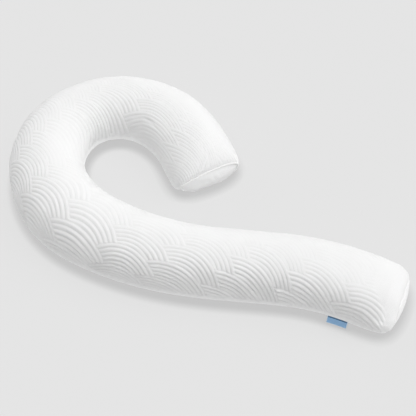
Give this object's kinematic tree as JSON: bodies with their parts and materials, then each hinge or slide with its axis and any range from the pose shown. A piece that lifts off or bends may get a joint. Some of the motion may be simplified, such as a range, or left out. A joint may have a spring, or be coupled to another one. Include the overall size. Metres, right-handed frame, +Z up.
{
  "type": "hook-shaped body pillow",
  "caption": "Long white body pillow with a straight body that bends into a hook, in quilted cloth above and plain cloth below, lying on its back.",
  "frame": {"origin": "on the surface that the pillow lies on, under the middle of its box", "axes": "+X towards the straight end, along the longest side of the box; +Y towards the bend of the hook; +Z up"},
  "size_m": [1.1972, 0.9402, 0.1724],
  "materials": {
    "quilted_cloth": "soft matt knit, quilted in a wave-fan pattern",
    "plain_cloth": "soft matt plain knit",
    "label_cloth": "satin woven ribbon"
  },
  "bodies": {
    "root": {"quilted_body": "quilted_cloth", "under_panel": "plain_cloth", "tail_end_panel": "plain_cloth", "tip_end_panel": "plain_cloth", "side_label": "label_cloth"}
  },
  "joints": []
}
